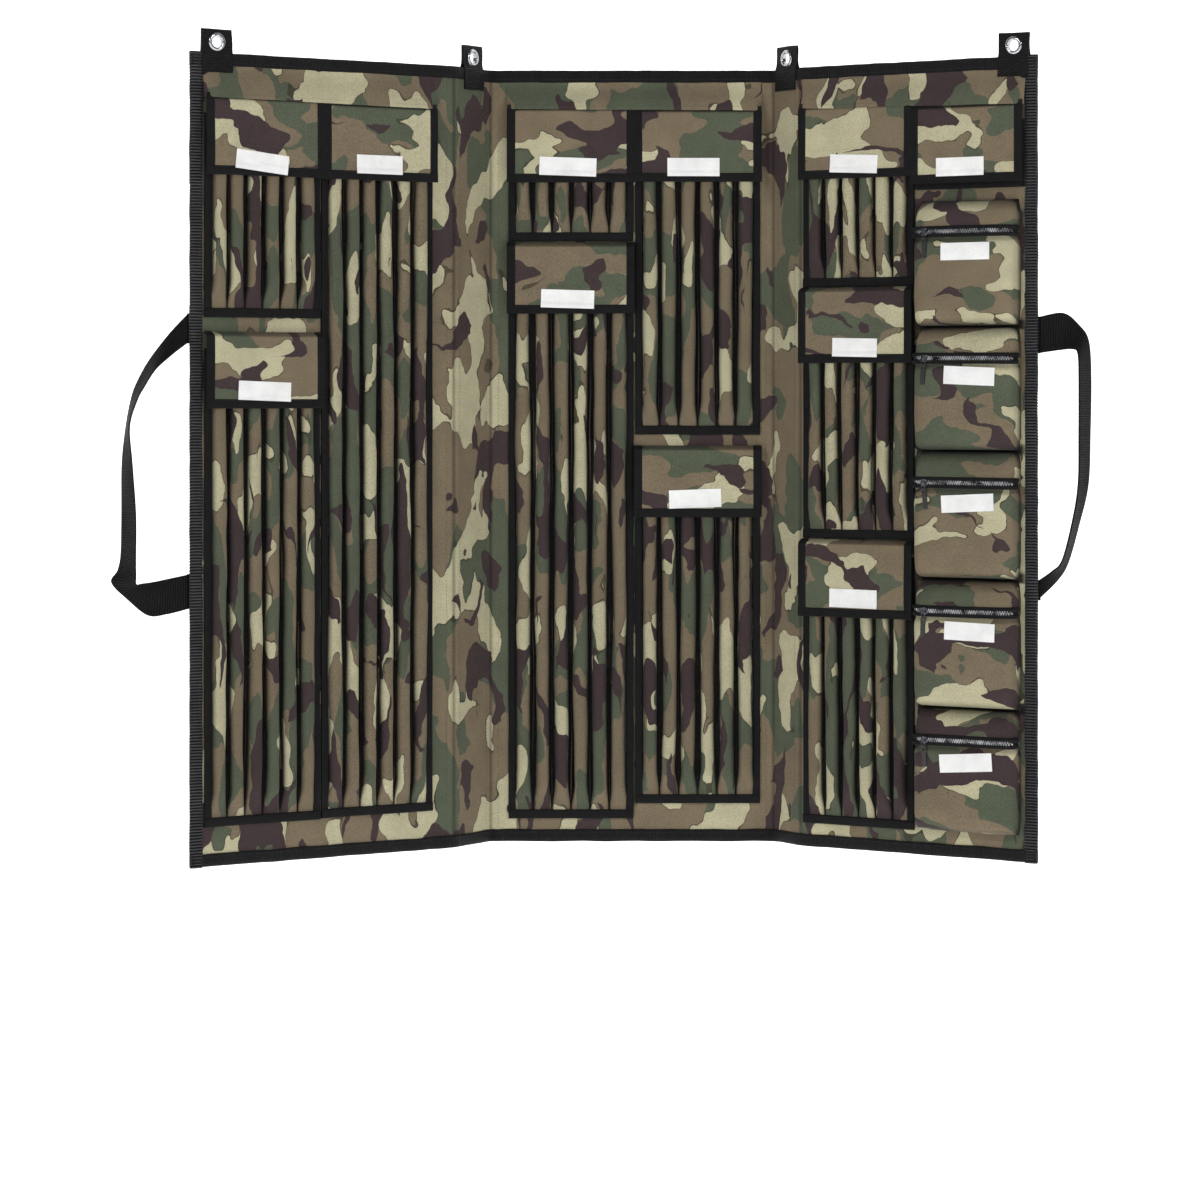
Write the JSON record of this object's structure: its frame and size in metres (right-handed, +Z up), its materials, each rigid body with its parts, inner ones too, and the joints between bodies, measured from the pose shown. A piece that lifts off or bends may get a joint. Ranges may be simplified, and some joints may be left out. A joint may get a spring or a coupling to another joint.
{
  "type": "hanging tri-fold stick bag",
  "caption": "Tri-fold hanging fabric organiser with stiff panels, rows of long stick tubes under flap lids, zipped pouches, eyelet tabs, carry handles and closing buckles.",
  "frame": {"origin": "on the line of the four hanging eyelets, at mid width of the centre panel, in the middle plane of its board", "axes": "+Z up, +X to the right seen from the pocket side, the pocket side faces -Y"},
  "size_m": [1.2281, 0.3372, 1.0465],
  "materials": {
    "camo_fabric": "woven camouflage polyester over stiff board",
    "black_webbing": "ribbed black webbing and bias tape",
    "name_card": "blank white card",
    "nickel": "nickel plate",
    "zip_metal": "black oxide",
    "clear_window": "clear vinyl",
    "black_plastic": "moulded acetal",
    "black_patch": "blank woven patch"
  },
  "bodies": {
    "centre": {"centre_panel": "camo_fabric", "centre_binding": "black_webbing", "tubes_centre_left": "camo_fabric", "tubes_centre_right": "camo_fabric", "webbing_centre_back": "black_webbing"},
    "left_spine_body": {"left_spine": "camo_fabric", "left_spine_binding": "black_webbing", "tab_left_spine": "black_webbing", "eyelet_left_spine": "nickel", "webbing_left_spine": "black_webbing"},
    "left_wing": {"left_panel": "camo_fabric", "left_binding": "black_webbing", "tab_left_edge": "black_webbing", "eyelet_left_edge": "nickel", "tubes_left_outer": "camo_fabric", "tubes_left_inner": "camo_fabric", "webbing_left_back": "black_webbing", "id_window": "clear_window", "blank_patch": "black_patch", "buckle_sockets": "black_plastic"},
    "right_spine_body": {"right_spine": "camo_fabric", "right_spine_binding": "black_webbing", "tab_right_spine": "black_webbing", "eyelet_right_spine": "nickel"},
    "right_wing": {"right_panel": "camo_fabric", "right_binding": "black_webbing", "tab_right_edge": "black_webbing", "eyelet_right_edge": "nickel", "tubes_right_inner": "camo_fabric", "tubes_right_outer": "camo_fabric", "pouch_1": "camo_fabric", "pouch_2": "camo_fabric", "pouch_3": "camo_fabric", "pouch_4": "camo_fabric", "pouch_5": "camo_fabric", "pouch_zip_tapes": "black_webbing", "pouch_cards": "name_card", "webbing_right_back": "black_webbing"},
    "flap_body_01": {"flap_01": "camo_fabric"},
    "flap_body_02": {"flap_02": "camo_fabric"},
    "flap_body_03": {"flap_03": "camo_fabric"},
    "flap_body_04": {"flap_04": "camo_fabric"},
    "flap_body_05": {"flap_05": "camo_fabric"},
    "flap_body_06": {"flap_06": "camo_fabric"},
    "flap_body_07": {"flap_07": "camo_fabric"},
    "flap_body_08": {"flap_08": "camo_fabric"},
    "flap_body_09": {"flap_09": "camo_fabric"},
    "flap_body_10": {"flap_10": "camo_fabric"},
    "flap_body_11": {"flap_11": "camo_fabric"},
    "slider_body_1": {"zip_slider_1": "zip_metal"},
    "slider_body_2": {"zip_slider_2": "zip_metal"},
    "slider_body_3": {"zip_slider_3": "zip_metal"},
    "slider_body_4": {"zip_slider_4": "zip_metal"},
    "slider_body_5": {"zip_slider_5": "zip_metal"},
    "handle_left_body": {"handle_left": "black_webbing"},
    "handle_right_body": {"handle_right": "black_webbing"},
    "handle_rear_body": {"handle_rear": "black_webbing"},
    "buckle_strap_upper_body": {"buckle_strap_upper": "black_webbing"},
    "buckle_strap_lower_body": {"buckle_strap_lower": "black_webbing"}
  },
  "joints": [
    {"name": "left_spine_fold", "type": "hinge", "parent": "centre", "child": "left_spine_body", "pos_m": [-0.188, 0, -0.522], "axis": [0, 0, 1], "range_deg": [-56.6, 33.4]},
    {"name": "left_wing_fold", "type": "hinge", "parent": "left_spine_body", "child": "left_wing", "pos_m": [-0.23204, -0.06679, -0.522], "axis": [0, 0, 1], "range_deg": [0, 114.2]},
    {"name": "right_spine_fold", "type": "hinge", "parent": "centre", "child": "right_spine_body", "pos_m": [0.188, 0, -0.522], "axis": [0, 0, -1], "range_deg": [-54.4, 35.6]},
    {"name": "right_wing_fold", "type": "hinge", "parent": "right_spine_body", "child": "right_wing", "pos_m": [0.2206, -0.04553, -0.522], "axis": [0, 0, -1], "range_deg": [0, 113]},
    {"name": "flap_01_lift", "type": "hinge", "parent": "left_wing", "child": "flap_body_01", "pos_m": [-0.46172, -0.22463, -0.069], "axis": [0.8443, 0.5358, 0], "range_deg": [-165, 0]},
    {"name": "flap_02_lift", "type": "hinge", "parent": "left_wing", "child": "flap_body_02", "pos_m": [-0.46172, -0.22463, -0.3633], "axis": [0.8443, 0.5358, 0], "range_deg": [-150, 0]},
    {"name": "flap_03_lift", "type": "hinge", "parent": "left_wing", "child": "flap_body_03", "pos_m": [-0.32367, -0.13702, -0.071], "axis": [0.8443, 0.5358, 0], "range_deg": [-165, 0]},
    {"name": "flap_04_lift", "type": "hinge", "parent": "centre", "child": "flap_body_04", "pos_m": [-0.0805, -0.0102, -0.0644], "axis": [1, 0, 0], "range_deg": [-165, 0]},
    {"name": "flap_05_lift", "type": "hinge", "parent": "centre", "child": "flap_body_05", "pos_m": [-0.0805, -0.0102, -0.2414], "axis": [1, 0, 0], "range_deg": [-130, 0]},
    {"name": "flap_06_lift", "type": "hinge", "parent": "centre", "child": "flap_body_06", "pos_m": [0.0865, -0.0102, -0.0662], "axis": [1, 0, 0], "range_deg": [-165, 0]},
    {"name": "flap_07_lift", "type": "hinge", "parent": "centre", "child": "flap_body_07", "pos_m": [0.0865, -0.0102, -0.5094], "axis": [1, 0, 0], "range_deg": [-150, 0]},
    {"name": "flap_08_lift", "type": "hinge", "parent": "right_wing", "child": "flap_body_08", "pos_m": [0.28954, -0.09957, -0.0676], "axis": [0.8536, -0.521, 0], "range_deg": [-165, 0]},
    {"name": "flap_09_lift", "type": "hinge", "parent": "right_wing", "child": "flap_body_09", "pos_m": [0.28954, -0.09957, -0.303], "axis": [0.8536, -0.521, 0], "range_deg": [-130, 0]},
    {"name": "flap_10_lift", "type": "hinge", "parent": "right_wing", "child": "flap_body_10", "pos_m": [0.28954, -0.09957, -0.63], "axis": [0.8536, -0.521, 0], "range_deg": [-130, 0]},
    {"name": "flap_11_lift", "type": "hinge", "parent": "right_wing", "child": "flap_body_11", "pos_m": [0.42547, -0.18254, -0.074], "axis": [0.8536, -0.521, 0], "range_deg": [-165, 0]},
    {"name": "zip_1_slide", "type": "slide", "parent": "right_wing", "child": "slider_body_1", "axis": [0.8536, -0.521, 0], "range_m": [0, 0.116]},
    {"name": "zip_2_slide", "type": "slide", "parent": "right_wing", "child": "slider_body_2", "axis": [0.8536, -0.521, 0], "range_m": [0, 0.116]},
    {"name": "zip_3_slide", "type": "slide", "parent": "right_wing", "child": "slider_body_3", "axis": [0.8536, -0.521, 0], "range_m": [0, 0.116]},
    {"name": "zip_4_slide", "type": "slide", "parent": "right_wing", "child": "slider_body_4", "axis": [0.8536, -0.521, 0], "range_m": [0, 0.116]},
    {"name": "zip_5_slide", "type": "slide", "parent": "right_wing", "child": "slider_body_5", "axis": [0.8536, -0.521, 0], "range_m": [0, 0.116]},
    {"name": "handle_left_swing", "type": "hinge", "parent": "left_wing", "child": "handle_left_body", "pos_m": [-0.55378, -0.26339, -0.522], "axis": [0, 0, 1], "range_deg": [-145, 60]},
    {"name": "handle_right_swing", "type": "hinge", "parent": "right_wing", "child": "handle_right_body", "pos_m": [0.51329, -0.21669, -0.522], "axis": [0, 0, 1], "range_deg": [-60, 148]},
    {"name": "handle_rear_swing", "type": "hinge", "parent": "centre", "child": "handle_rear_body", "pos_m": [0.188, 0.0064, -0.522], "axis": [0, 0, -1], "range_deg": [-155, 30]},
    {"name": "buckle_strap_upper_swing", "type": "hinge", "parent": "centre", "child": "buckle_strap_upper_body", "pos_m": [0.188, 0.0064, -0.153], "axis": [0, 0, -1], "range_deg": [0, 172]},
    {"name": "buckle_strap_lower_swing", "type": "hinge", "parent": "centre", "child": "buckle_strap_lower_body", "pos_m": [0.188, 0.0064, -0.904], "axis": [0, 0, -1], "range_deg": [0, 172]}
  ]
}
